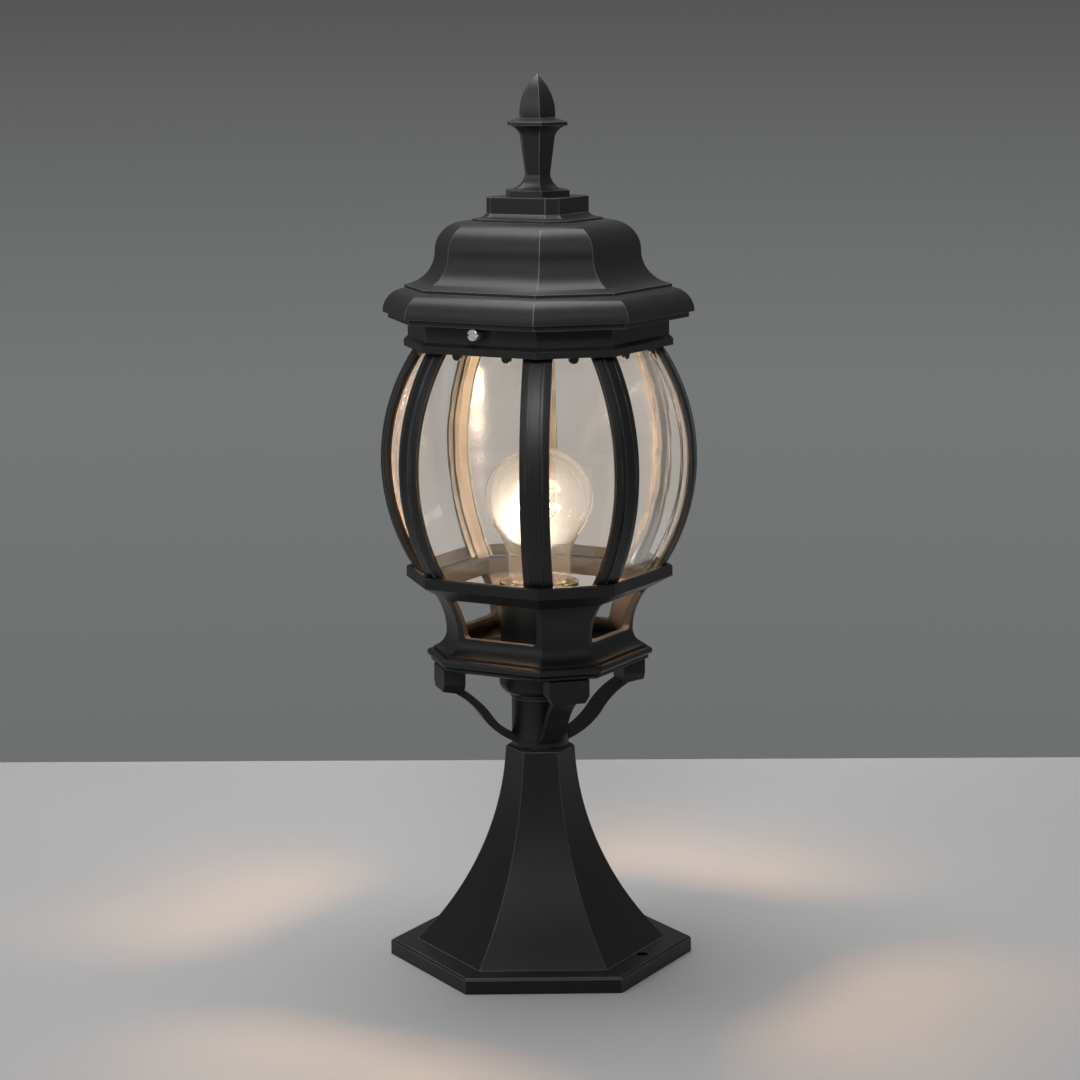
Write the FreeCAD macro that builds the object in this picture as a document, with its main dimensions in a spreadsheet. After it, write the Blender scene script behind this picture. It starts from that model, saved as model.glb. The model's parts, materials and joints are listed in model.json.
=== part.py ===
# Pedestal lamp: hexagonal flared foot, stem with scroll arms, octagonal lantern with bent panes.
import FreeCAD, Part
import math
import os
import re
import Sketcher
from FreeCAD import Placement, Rotation, Vector

# Sizes in millimetres and degrees
SIZES = {
    # Flared foot, measured across the flats of its hexagon
    "flange_flats": 150.0,
    "flange_thickness": 9.0,
    "flange_edge": 1.2,
    "flange_land": 13.5,
    "neck_flats": 34.0,
    "flare_radius": 186.0,
    "base_height": 124.0,
    "base_wall": 4.0,
    "base_top_thickness": 6.0,
    "base_top_edge": 1.5,
    "mount_inset": 9.5,
    "mount_hole": 7.0,
    # Scroll bracket
    "hub_diameter": 32.6,
    "hub_height": 7.0,
    "hub_edge": 0.9,
    "hub_clearance": 0.05,
    "arm_root_lap": 2.0,
    "arm_width": 12.5,
    "arm_thickness": 3.6,
    "arm_root_height": 4.4,
    "arm_bend_out": 32.5,
    "arm_bend_up": 19.0,
    "arm_lower_radius": 42.0,
    "arm_upper_radius": 46.0,
    "block_width": 23.0,
    "block_depth": 12.4,
    "block_height": 12.8,
    "block_slope": 2.6,
    "block_overhang": 1.2,
    "block_corner": 4.2,
    "block_corner_rise": 6.4,
    "bracket_screw_inset": 3.4,
    "bracket_screw_shank": 3.4,
    "bracket_screw_head": 6.0,
    "bracket_screw_head_height": 2.2,
    "bracket_screw_length": 13.0,
    # Stem
    "stem_diameter": 32.2,
    "stem_height": 41.4,
    "stem_wall": 4.0,
    "stem_ring_height": 2.2,
    "stem_ring_reach": 0.9,
    "cup_diameter": 46.0,
    "cup_height": 18.0,
    "cup_round": 6.4,
    # Gallery: apothems are taken on the wide faces, the narrow faces stand out by corner_reach
    "corner_reach": 5.5,
    "rim_apothem": 52.3,
    "rim_foot": 1.2,
    "fillet_height": 1.3,
    "fillet_reach": 1.5,
    "fillet_gap": 0.7,
    "bead_radius": 2.2,
    "bead_reach": 3.6,
    "rim_band_height": 1.4,
    "waist_apothem": 45.5,
    "waist_rise": 9.4,
    "cove_radius": 9.6,
    "shoulder_apothem": 53.3,
    "shoulder_rise": 22.8,
    "post_radius": 37.5,
    "ring_slope": 7.6,
    "ring_height": 6.3,
    "lip_thickness": 2.4,
    "lip_edge": 0.8,
    "tray_depth": 5.3,
    "tray_clearance": 0.4,
    "gallery_wall": 4.4,
    "gallery_floor": 4.5,
    "window_foot_width": 46.0,
    "window_head_width": 52.0,
    "window_corner": 3.0,
    # Bent panes and ribs
    "bulge_radius": 118.3,
    "glass_apothem": 77.6,
    "glass_middle": 65.6,
    "glass_thickness": 2.0,
    "glazing_gap": 0.3,
    "cage_height": 134.0,
    "pane_head_gap": 0.6,
    "rib_width": 16.0,
    "rib_wing": 1.8,
    "rib_flat": 9.6,
    "rib_core": 5.4,
    "rib_bead": 0.9,
    "rib_groove": 1.1,
    "rib_groove_depth": 0.6,
    "rib_inner_width": 8.4,
    "rib_inner_wing": 0.9,
    # Frieze ring
    "frieze_lap": 4.4,
    "frieze_clearance": 0.3,
    "frieze_wall": 2.6,
    "frieze_height": 17.4,
    "band_reach": 2.1,
    "band_height": 3.7,
    "band_slope": 2.2,
    "shelf_thickness": 3.0,
    "shelf_land": 5.5,
    "tab_width": 5.3,
    "tab_drop": 3.3,
    "tab_thickness": 2.2,
    "tab_spread": 30.6,
    "tab_toe": 0.9,
    # Roof and its clamp screws
    "skirt_clearance": 0.5,
    "skirt_thickness": 2.6,
    "skirt_depth": 8.8,
    "eave_reach": 10.2,
    "drip_height": 1.8,
    "drip_thickness": 3.0,
    "fascia_height": 3.2,
    "roll_reach": 2.8,
    "roll_rise": 13.4,
    "roll_run": 11.5,
    "roll_radius": 13.2,
    "roll_lip_height": 1.9,
    "dome_apothem": 49.7,
    "roof_cove_rise": 18.6,
    "roof_cove_radius": 18.8,
    "dome_rise": 16.6,
    "dome_run": 15.4,
    "dome_radius": 16.4,
    "ledge_apothem": 30.1,
    "ledge_height": 1.4,
    "collar_apothem": 22.8,
    "collar_cove": 2.8,
    "collar_cove_radius": 8.4,
    "collar_height": 9.0,
    "roof_wall": 3.0,
    "roof_top_thickness": 4.0,
    "clamp_height": 12.0,
    "clamp_shank": 4.0,
    "clamp_standoff": 4.6,
    "clamp_head": 6.2,
    "clamp_head_height": 4.2,
    "clamp_slot": 1.0,
    "clamp_tip_gap": 0.3,
    "thread_clearance": 0.06,
    # Finial, measured across the flats of its hexagon
    "finial_turn": 35.0,
    "finial_foot_flats": 33.4,
    "finial_foot_height": 3.6,
    "finial_waist_flats": 13.2,
    "finial_waist_rise": 8.6,
    "finial_foot_cove": 9.6,
    "finial_neck_flats": 18.2,
    "finial_neck_rise": 20.6,
    "finial_cup_flats": 31.4,
    "finial_cup_rise": 6.0,
    "finial_cup_cove": 8.4,
    "finial_rim": 2.0,
    "finial_spade_flats": 18.6,
    "finial_spade_foot": 2.0,
    "finial_spade_rise": 23.8,
    "finial_spade_radius": 29.0,
    "stud_diameter": 6.0,
    "stud_length": 14.0,
    "stud_clearance": 0.3,
    "stud_nut_flats": 10.0,
    "stud_nut_height": 5.0,
    "stud_washer": 12.5,
    "stud_washer_height": 1.2,
    # Threaded tube and its nuts
    "tube_diameter": 10.0,
    "tube_bore": 7.0,
    "tube_clearance": 0.3,
    "tube_nut_flats": 17.0,
    "tube_nut_height": 6.0,
    "tube_locknut_height": 4.0,
    "tube_washer": 20.0,
    "tube_washer_height": 1.5,
    "tube_tail": 4.0,
    "tube_head": 1.0,
    # Lampholder
    "holder_diameter": 44.0,
    "holder_height": 41.6,
    "holder_wall": 2.5,
    "insert_diameter": 38.6,
    "insert_height": 34.6,
    "insert_cellar": 5.6,
    "insert_cellar_bore": 28.0,
    "insert_disc": 3.0,
    "insert_clearance": 0.2,
    "shell_diameter": 29.6,
    "shell_wall": 1.0,
    "shell_height": 28.0,
    "contact_diameter": 8.0,
    "contact_height": 1.6,
    # Bulb
    "bulb_gap": 0.3,
    "tip_diameter": 9.0,
    "tip_height": 1.8,
    "cap_cone_height": 5.0,
    "cap_diameter": 26.4,
    "cap_height": 26.8,
    "cap_wall": 0.7,
    "bulb_diameter": 60.0,
    "bulb_height": 103.0,
    "bulb_neck": 26.8,
    "bulb_neck_height": 29.6,
    "bulb_shoulder_drop": 14.9,
    "bulb_neck_radius": 90.0,
    "bulb_wall": 0.8,
    "neck_clearance": 0.1,
    "mount_flare": 20.0,
    "mount_flare_height": 1.5,
    "mount_stalk": 6.0,
    "mount_height": 60.0,
    "filament_ring": 22.0,
    "filament_wire": 1.6,
    "filament_height": 70.0,
    "support_wire": 0.9,
    "support_lap": 2.0,
    # Wiring in the foot
    "strap_thickness": 1.5,
    "strap_width": 13.0,
    "strap_reach": 11.5,
    "strap_drop": 74.0,
    "strap_setback": 3.0,
    "block_length": 32.0,
    "terminal_height": 16.0,
    "terminal_pitch": 10.0,
    "terminal_screw": 4.6,
    "terminal_screw_height": 6.0,
    "terminal_screw_sink": 1.5,
    "terminal_slot": 0.8,
    "terminal_slot_depth": 0.7,
    "terminal_entry": 3.6,
    "lead_diameter": 5.4,
}

doc = FreeCAD.newDocument("pedestal_lamp")
sheet = doc.addObject("Spreadsheet::Sheet", "dims")
for row, (alias, number) in enumerate(SIZES.items(), start=1):
    sheet.set(f"A{row}", alias.replace("_", " "))
    sheet.set(f"B{row}", str(number))
    sheet.setAlias(f"B{row}", alias)
doc.recompute()

# Levels up the axis and sizes that follow from mating pieces
HUB_FOOT = "base_height"
STEM_FOOT = f"({HUB_FOOT} + hub_height)"
GALLERY_FOOT = f"({STEM_FOOT} + stem_height)"
FLOOR_TOP = f"({GALLERY_FOOT} + gallery_floor)"
FILLET_TOP = f"({GALLERY_FOOT} + rim_foot + fillet_height)"
BEAD_FOOT = f"({FILLET_TOP} + fillet_gap)"
STEP_FOOT = f"({BEAD_FOOT} + 2 * bead_radius)"
COVE_FOOT = f"({STEP_FOOT} + rim_band_height)"
WAIST = f"({COVE_FOOT} + waist_rise)"
SHOULDER = f"({WAIST} + shoulder_rise)"
RING_FOOT = f"({SHOULDER} + ring_slope)"
RING_TOP = f"({RING_FOOT} + ring_height)"
TRAY = f"({RING_TOP} - tray_depth)"
GLASS_MIDDLE = f"({TRAY} + glass_middle)"
CAGE_TOP = f"({TRAY} + cage_height)"
FRIEZE_FOOT = f"({CAGE_TOP} - frieze_lap)"
FRIEZE_TOP = f"({FRIEZE_FOOT} + frieze_height)"
WING_OFFSET = "(glazing_gap + rib_wing)"
BACK_OFFSET = "(0 - glass_thickness - glazing_gap)"


def bulge_apothem(offset, level):
    """Apothem on a wide face of the bowed lantern surface, set out from the glass by offset."""
    return (f"(glass_apothem - bulge_radius + sqrt((bulge_radius + {offset})^2"
            f" - ({level} - {GLASS_MIDDLE})^2))")


LIP_INNER = f"({bulge_apothem(WING_OFFSET, RING_TOP)} + tray_clearance)"
RING_APOTHEM = f"({LIP_INNER} + lip_thickness)"
FRIEZE_INNER = f"({bulge_apothem(WING_OFFSET, FRIEZE_FOOT)} + frieze_clearance)"
FRIEZE_APOTHEM = f"({FRIEZE_INNER} + frieze_wall)"
SKIRT_APOTHEM = f"({FRIEZE_INNER} - skirt_clearance)"
FASCIA_APOTHEM = f"({FRIEZE_APOTHEM} + eave_reach)"
ROLL_FOOT = f"({FRIEZE_TOP} - drip_height + fascia_height)"
ROLL_TOP = f"({ROLL_FOOT} + roll_rise)"
ROLL_APOTHEM = f"({FASCIA_APOTHEM} + roll_reach - roll_run)"
DOME_FOOT = f"({ROLL_TOP} + roll_lip_height)"
DOME_WAIST = f"({DOME_FOOT} + roof_cove_rise)"
DOME_TOP = f"({DOME_WAIST} + dome_rise)"
COLLAR_FOOT = f"({DOME_TOP} + ledge_height + collar_cove)"
COLLAR_TOP = f"({COLLAR_FOOT} + collar_height)"
BLOCK_REACH = "(rim_apothem + corner_reach + block_overhang)"
BLOCK_INNER = f"({BLOCK_REACH} - block_depth)"
BASE_CEILING = "(base_height - base_top_thickness)"
TUBE_HOLE = "(tube_diameter / 2 + tube_clearance)"
HOLDER_FLOOR = f"({FLOOR_TOP} + holder_wall)"
INSERT_DISC = f"({HOLDER_FLOOR} + insert_cellar)"
SHELL_FOOT = f"({INSERT_DISC} + insert_disc)"
BULB_FOOT = f"({SHELL_FOOT} + contact_height + bulb_gap)"
TERMINAL_FOOT = f"({BASE_CEILING} - strap_drop)"
SPAN = "2 * flange_flats"


def bound(text):
    """The expression with every size name pointed at its cell."""
    return re.sub(r"[a-z][a-z_0-9]*", lambda m: f"dims.{m[0]}" if m[0] in SIZES else m[0], text)


def number(text):
    return float(sheet.evalExpression(bound(text)))


def bind(thing, **expressions):
    for name, text in expressions.items():
        thing.setExpression(name.replace("__", "."), bound(text))


# Drawing
STANDING = Placement(Vector(), Rotation(Vector(1, 0, 0), 90))
LYING = Placement()


def half_turned(points):
    """The points up the right side followed by their mirror images down the left side."""
    corners = [(p[0], 1, p[1], *(p[2:] or (None, 1))) for p in points]
    mirror = []
    for here, before in zip(reversed(points), list(reversed(points[:-1])) + [()]):
        mirror.append((here[0], -1, here[1], *(before[2:] or (None, 1))))
    if points[-1][0] == "0":
        corners.pop()
    return corners + mirror


def draw(sketch, corners):
    """Closed outline; a corner is (x, side, y, radius, turn) and an arc runs from it to the next."""
    spots = [Vector(side * number(x), number(y), 0) for x, side, y, _, _ in corners]
    ends = []
    for i, (_, _, _, radius, turn) in enumerate(corners):
        start, stop = spots[i], spots[(i + 1) % len(spots)]
        if radius is None:
            sketch.addGeometry(Part.LineSegment(start, stop))
            ends.append((1, 2))
            continue
        chord = stop - start
        reach = math.sqrt(number(radius) ** 2 - (chord.Length / 2) ** 2)
        left = Vector(-chord.y, chord.x, 0).normalize()
        centre = (start + stop) * 0.5 + left * (reach * turn)
        first, last = (start, stop) if turn > 0 else (stop, start)
        angles = [math.atan2(p.y - centre.y, p.x - centre.x) for p in (first, last)]
        circle = Part.Circle(centre, Vector(0, 0, 1), number(radius))
        sketch.addGeometry(Part.ArcOfCircle(circle, *angles))
        ends.append((1, 2) if turn > 0 else (2, 1))
    for i in range(len(corners)):
        j = (i + 1) % len(corners)
        sketch.addConstraint(Sketcher.Constraint("Coincident", i, ends[i][1], j, ends[j][0]))
    for i, (x, side, y, radius, _) in enumerate(corners):
        spot = (i, ends[i][0])
        across = (*spot, -1, 1) if side < 0 else (-1, 1, *spot)
        rules = [("DistanceX", across, x), ("DistanceY", (-1, 1, *spot), y)]
        if radius is not None:
            rules.append(("Radius", (i,), radius))
        for kind, where, text in rules:
            rule = sketch.addConstraint(Sketcher.Constraint(kind, *where, number(text)))
            sketch.setExpression(f"Constraints[{rule}]", bound(text))


def outline(name, corners, placement):
    sketch = doc.addObject("Sketcher::SketchObject", name)
    sketch.Placement = placement
    draw(sketch, corners)
    return sketch


def open_corners(points):
    return [(p[0], 1, p[1], *(p[2:] or (None, 1))) for p in points]


def extruded(name, sketch, length, turn=0.0, symmetric=True):
    solid = doc.addObject("Part::Extrusion", name)
    solid.Base = sketch
    solid.DirMode = "Normal"
    solid.Symmetric = symmetric
    solid.Solid = True
    solid.Placement = Placement(Vector(), Rotation(Vector(0, 0, 1), turn))
    bind(solid, LengthFwd=length)
    return solid


def boolean(kind, name, base, tool):
    result = doc.addObject(f"Part::{kind}", name)
    result.Base = base
    result.Tool = tool
    return result


def joined(name, solids):
    result = doc.addObject("Part::MultiFuse", name)
    result.Shapes = solids
    result.Refine = True
    return result


def without(name, base, *tools):
    """The base with every tool cut away; the last cut takes the name."""
    for i, tool in enumerate(tools, start=1):
        base = boolean("Cut", name if i == len(tools) else f"{name}_cut{i}", base, tool)
    return base


# A mitred solid carries one moulding round every side: the extrusions of its profile, intersected
OCTAGON = [("0", (0, 90)), ("corner_reach", (45, 135))]
HEXAGON = [("0", (0, 60, 120))]


def mitred(name, points, plan=OCTAGON, turn=0.0):
    solid = None
    for extra, angles in plan:
        shifted = [(f"({p[0]} + {extra})" if p[0] != "0" else "0", *p[1:]) for p in points]
        sketch = outline(f"{name}_profile_{extra}", half_turned(shifted), STANDING)
        for angle in angles:
            prism = extruded(f"{name}_{angle}", sketch, SPAN, angle + turn)
            solid = boolean("Common", f"{name}_to_{angle}", solid, prism) if solid else prism
    return solid


def bulge(name, offset, foot, head):
    radius = f"(bulge_radius + {offset})"
    return mitred(name, [
        (bulge_apothem(offset, foot), foot, radius, 1),
        (bulge_apothem(offset, head), head),
    ])


def turned(name, points):
    """Body revolved about the lamp's axis from a half section."""
    body = doc.addObject("PartDesign::Body", name)
    sketch = body.newObject("Sketcher::SketchObject", f"{name}_section")
    planes = {f.Role: f for f in body.Origin.OriginFeatures}
    sketch.AttachmentSupport = (planes["XZ_Plane"], [""])
    sketch.MapMode = "FlatFace"
    draw(sketch, open_corners(points))
    spin = body.newObject("PartDesign::Revolution", f"{name}_spin")
    spin.Profile = sketch
    spin.ReferenceAxis = (sketch, ["V_Axis"])
    spin.Angle = 360.0
    body.Tip = spin
    return body


def ring(name, outer, inner, foot, head):
    return turned(name, [(inner, foot), (outer, foot), (outer, head), (inner, head)])


def drill(name, radius, foot, head, x="0", y="0"):
    tool = doc.addObject("Part::Cylinder", name)
    bind(tool, Radius=radius, Height=f"{head} - {foot}")
    bind(tool, Placement__Base__x=x, Placement__Base__y=y, Placement__Base__z=foot)
    return tool


def brick(name, length, width, height, x, y, z):
    """Box centred on x and y, standing on z."""
    tool = doc.addObject("Part::Box", name)
    bind(tool, Length=length, Width=width, Height=height)
    bind(tool, Placement__Base__x=f"{x} - ({length}) / 2", Placement__Base__y=f"{y} - ({width}) / 2",
         Placement__Base__z=z)
    return tool


def hex_nut(name, flats, height, bore, foot):
    blank = doc.addObject("Part::Prism", f"{name}_blank")
    blank.Polygon = 6
    bind(blank, Circumradius=f"{flats} / sqrt(3)", Height=height, Placement__Base__z=foot)
    return without(name, blank, drill(f"{name}_bore", bore, f"({foot} - 1)", f"({foot} + {height} + 1)"))


def quarter_copies(name, source, count=4, first=0.0):
    copies = []
    for i in range(count):
        copy = doc.addObject("Part::Compound", f"{name}_{i + 1}")
        copy.Links = [source]
        copy.Placement = Placement(Vector(), Rotation(Vector(0, 0, 1), first + 360.0 / count * i))
        copies.append(copy)
    return copies


pieces = {}

# Flared foot
foot_half = "(flange_flats / 2 - flange_land)"
neck_half = "neck_flats / 2"
base_outer = mitred("base_outer", [
    ("flange_flats / 2", "0"),
    ("flange_flats / 2", "flange_thickness - flange_edge"),
    ("flange_flats / 2 - flange_edge", "flange_thickness"),
    (foot_half, "flange_thickness", "flare_radius", -1),
    (neck_half, "base_height - base_top_edge"),
    ("neck_flats / 2 - base_top_edge", "base_height"),
], HEXAGON)
base_inner = mitred("base_inner", [
    (f"{foot_half} - base_wall", "0"),
    (f"{foot_half} - base_wall", "flange_thickness / 2", "flare_radius + base_wall", -1),
    ("neck_flats / 2 - base_wall", BASE_CEILING),
], HEXAGON)
mount_holes = [
    drill(f"mount_hole_{n}", "mount_hole / 2", "(0 - 1)", "(flange_thickness * 3)", x)
    for n, x in (("right", "(flange_flats / 2 - mount_inset)"), ("left", "(mount_inset - flange_flats / 2)"))
]
base_bore = drill("base_bore", TUBE_HOLE, "1", "(base_height + 1)")
pieces["pedestal_base"] = without("pedestal_base_form", base_outer, base_inner, base_bore, *mount_holes)

# Scroll bracket, drawn with its arms along the row axes and turned to the diagonals
hub = turned("hub", [
    (TUBE_HOLE, HUB_FOOT),
    ("hub_diameter / 2 - hub_edge", HUB_FOOT, "hub_edge", 1),
    ("hub_diameter / 2", f"{HUB_FOOT} + hub_edge"),
    ("hub_diameter / 2", STEM_FOOT),
    (TUBE_HOLE, STEM_FOOT),
])
root_out = "(hub_diameter / 2 - arm_root_lap)"
root_up = f"({HUB_FOOT} + arm_root_height)"
bend_up = f"({HUB_FOOT} + arm_bend_up)"
tip_out = f"({BLOCK_INNER} + arm_thickness)"
tip_up = f"({GALLERY_FOOT} - block_height - block_slope + arm_thickness / 2)"
half_arm = "arm_thickness / 2"
arm_side = outline("arm_side", open_corners([
    (root_out, f"{root_up} - {half_arm}", f"arm_lower_radius + {half_arm}", 1),
    (f"arm_bend_out + {half_arm}", f"{bend_up} - {half_arm}", f"arm_upper_radius - {half_arm}", -1),
    (tip_out, f"{tip_up} - {half_arm}"),
    (tip_out, f"{tip_up} + {half_arm}", f"arm_upper_radius + {half_arm}", 1),
    (f"arm_bend_out - {half_arm}", f"{bend_up} + {half_arm}", f"arm_lower_radius - {half_arm}", -1),
    (root_out, f"{root_up} + {half_arm}"),
]), STANDING)
block_foot = f"({GALLERY_FOOT} - block_height - block_slope)"
block_side = outline("block_side", open_corners([
    (BLOCK_INNER, block_foot),
    (BLOCK_REACH, f"{block_foot} + block_slope"),
    (BLOCK_REACH, GALLERY_FOOT),
    (BLOCK_INNER, GALLERY_FOOT),
]), STANDING)
block_front = outline("block_front", half_turned([
    ("block_width / 2 - block_corner", block_foot),
    ("block_width / 2", f"{block_foot} + block_corner_rise"),
    ("block_width / 2", GALLERY_FOOT),
]), STANDING)
block = boolean("Common", "arm_block", extruded("block_across", block_side, "block_width"),
                extruded("block_along", block_front, SPAN, 90.0))
arm_one = joined("arm_one", [extruded("arm_strip", arm_side, "arm_width"), block])
arms = quarter_copies("arm", arm_one, first=45.0)
hub_clear = drill("hub_clear", "stem_diameter / 2 + hub_clearance", STEM_FOOT, GALLERY_FOOT)
screw_out = f"({BLOCK_INNER} + bracket_screw_inset)"
screw_foot = f"({FLOOR_TOP} - bracket_screw_length)"
screw_hole = drill("screw_hole", "bracket_screw_shank / 2", screw_foot, f"({FLOOR_TOP} + 1)", screw_out)
screw_holes = quarter_copies("screw_hole", screw_hole, first=45.0)
bracket = joined("bracket_form", [hub, *arms])
pieces["scroll_bracket"] = without("bracket_drilled", bracket, hub_clear, *screw_holes)
bracket_screw = turned("bracket_screw", [
    ("0", screw_foot),
    ("bracket_screw_shank / 2", screw_foot),
    ("bracket_screw_shank / 2", FLOOR_TOP),
    ("bracket_screw_head / 2", FLOOR_TOP),
    ("bracket_screw_head / 2", f"{FLOOR_TOP} + bracket_screw_head_height"),
    ("0", f"{FLOOR_TOP} + bracket_screw_head_height"),
])
bind(bracket_screw, Placement__Base__x=screw_out)
screw_group = doc.addObject("Part::Compound", "screw_group")
screw_group.Links = quarter_copies("bracket_screw", bracket_screw, first=45.0)
pieces["bracket_screws"] = screw_group

# Stem
ring_out = "(stem_diameter / 2 + stem_ring_reach)"
cup_foot = f"({GALLERY_FOOT} - cup_height)"
pieces["stem"] = turned("stem_form", [
    ("stem_diameter / 2 - stem_wall", STEM_FOOT),
    ("stem_diameter / 2", STEM_FOOT),
    ("stem_diameter / 2", f"{cup_foot} - stem_ring_height"),
    (ring_out, f"{cup_foot} - stem_ring_height"),
    (ring_out, cup_foot, "cup_round", 1),
    ("cup_diameter / 2", f"{cup_foot} + cup_round"),
    ("cup_diameter / 2", GALLERY_FOOT),
    ("stem_diameter / 2 - stem_wall", GALLERY_FOOT),
])

# Gallery
gallery_outer = mitred("gallery_outer", [
    ("rim_apothem - rim_foot", GALLERY_FOOT),
    ("rim_apothem + fillet_reach", f"{GALLERY_FOOT} + rim_foot"),
    ("rim_apothem + fillet_reach", FILLET_TOP),
    ("rim_apothem", FILLET_TOP),
    ("rim_apothem", BEAD_FOOT),
    ("rim_apothem + bead_reach - bead_radius", BEAD_FOOT, "bead_radius", 1),
    ("rim_apothem + bead_reach", f"{BEAD_FOOT} + bead_radius", "bead_radius", 1),
    ("rim_apothem + bead_reach - bead_radius", STEP_FOOT),
    ("rim_apothem", STEP_FOOT),
    ("rim_apothem", COVE_FOOT, "cove_radius", -1),
    ("waist_apothem", WAIST, "post_radius", -1),
    ("shoulder_apothem", SHOULDER),
    (RING_APOTHEM, RING_FOOT),
    (RING_APOTHEM, f"{RING_TOP} - lip_edge"),
    (f"{RING_APOTHEM} - lip_edge", RING_TOP),
])
gallery_inner = mitred("gallery_inner", [
    ("rim_apothem - gallery_wall", FLOOR_TOP),
    ("rim_apothem - gallery_wall", COVE_FOOT, "cove_radius + gallery_wall / 2", -1),
    ("waist_apothem - gallery_wall", WAIST, "post_radius + gallery_wall / 2", -1),
    ("shoulder_apothem - gallery_wall", SHOULDER),
    ("shoulder_apothem - gallery_wall", f"{TRAY} + 1"),
])
tray_recess = mitred("tray_recess", [(LIP_INNER, TRAY), (LIP_INNER, f"{RING_TOP} + 1")])
window_side = outline("window_side", half_turned([
    ("window_foot_width / 2 - window_corner", WAIST, "window_corner", 1),
    ("window_foot_width / 2", f"{WAIST} + window_corner"),
    ("window_head_width / 2", SHOULDER),
]), STANDING)
windows = [extruded(f"window_{turn}", window_side, SPAN, turn) for turn in (0, 90)]
gallery_bore = drill("gallery_bore", TUBE_HOLE, f"({GALLERY_FOOT} - 1)", f"({FLOOR_TOP} + 1)")
gallery_shell = without("gallery_shell", gallery_outer, gallery_inner, tray_recess, *windows)
pieces["gallery"] = without("gallery_form", gallery_shell, gallery_bore, *screw_holes)

# Bowed lantern surfaces, from the rib wings in to the back of the inner wing
pane_head = f"({CAGE_TOP} - pane_head_gap)"
wing_solid = bulge("wing_solid", WING_OFFSET, TRAY, CAGE_TOP)
front_solid = bulge("front_solid", "glazing_gap", f"({TRAY} - 1)", f"({CAGE_TOP} + 1)")
glass_solid = bulge("glass_solid", "0", TRAY, pane_head)
glass_back = bulge("glass_back", "(0 - glass_thickness)", f"({TRAY} - 1)", f"({CAGE_TOP} + 1)")
back_solid = bulge("back_solid", BACK_OFFSET, TRAY, CAGE_TOP)
inner_solid = bulge("inner_solid", f"({BACK_OFFSET} - rib_inner_wing)", f"({TRAY} - 1)",
                    f"({CAGE_TOP} + 1)")


def rib_slab(name, width):
    """Upright slab along the mitre plane beside the wide face at +X."""
    slab = doc.addObject("Part::Box", name)
    slab.Placement = Placement(Vector(), Rotation(Vector(0, 0, 1), -22.5))
    bind(slab, Length="flange_flats", Width=width, Height=f"{CAGE_TOP} * 2",
         Placement__Base__x=f"0 - sin(22.5) * {width} / 2",
         Placement__Base__y=f"0 - cos(22.5) * {width} / 2 - sqrt(2) * corner_reach")
    return slab


def corner_apothem(drop, level):
    """Reach along the mitre plane of the corner where two wings would meet, less drop."""
    return (f"({bulge_apothem(WING_OFFSET, level)} / cos(22.5) + sin(22.5) * sqrt(2) * corner_reach"
            f" - {drop})")


def corner_bow(name, drop):
    """Prism square to the mitre plane, bowed like the lantern's corner and set below it by drop."""
    sag = f"({corner_apothem('0', GLASS_MIDDLE)} - {corner_apothem('0', TRAY)})"
    radius = f"((glass_middle^2 + {sag}^2) / (2 * {sag}))"
    profile = outline(f"{name}_profile", half_turned([
        (corner_apothem(drop, TRAY), TRAY, radius, 1),
        (corner_apothem(drop, CAGE_TOP), CAGE_TOP),
    ]), STANDING)
    return extruded(name, profile, SPAN, -22.5)


# Rib: two wings over the glass, a flat along the corner, a bead between two grooves, and a back wing
flat_drop = "(tan(22.5) * rib_flat / 2)"
corner_flat = corner_bow("corner_flat", flat_drop)
corner_bead = corner_bow("corner_bead", f"({flat_drop} - rib_bead)")
corner_groove = corner_bow("corner_groove", f"({flat_drop} + rib_groove_depth)")
groove_slab = rib_slab("groove_slab", "(rib_core + 2 * rib_groove)")
groove_tool = boolean("Cut", "groove_tool", groove_slab, corner_groove)
wing_flat = boolean("Common", "wing_flat", wing_solid, corner_flat)
wing_skin = boolean("Cut", "wing_skin", wing_flat, front_solid)
front_skin = boolean("Cut", "front_skin", wing_skin, groove_tool)
core_bead = boolean("Common", "core_bead", wing_solid, corner_bead)
core_skin = boolean("Cut", "core_skin", core_bead, inner_solid)
back_skin = boolean("Cut", "back_skin", back_solid, inner_solid)
rib_layers = [("front", front_skin, "rib_width"), ("core", core_skin, "rib_core"),
              ("back", back_skin, "rib_inner_width")]
rib_right = joined("rib_right", [
    boolean("Common", f"rib_{layer}", skin, rib_slab(f"rib_{layer}_slab", width))
    for layer, skin, width in rib_layers
])
rib_left = doc.addObject("Part::Mirroring", "rib_left")
rib_left.Source = rib_right
rib_left.Normal = Vector(0, 1, 0)
ribs = quarter_copies("rib_r", rib_right) + quarter_copies("rib_l", rib_left)
for n, rib in enumerate(ribs, start=1):
    pieces[f"rib_{n}"] = rib

# Panes: the glass skin between two neighbouring rib cores
glass_skin = boolean("Cut", "glass_skin", glass_solid, glass_back)
core_side = "(rib_core / 2 + glazing_gap) / cos(22.5)"


def pane(name, shift):
    near, far = "waist_apothem", "flange_flats"
    edges = {x: f"(tan(22.5) * {x} {shift} sqrt(2) * corner_reach - {core_side})" for x in (near, far)}
    plan = outline(f"{name}_plan", [
        (near, 1, f"(0 - {edges[near]})", None, 1),
        (far, 1, f"(0 - {edges[far]})", None, 1),
        (far, 1, edges[far], None, 1),
        (near, 1, edges[near], None, 1),
    ], LYING)
    return extruded(f"{name}_wedge", plan, f"{CAGE_TOP} * 2", symmetric=False)


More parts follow.
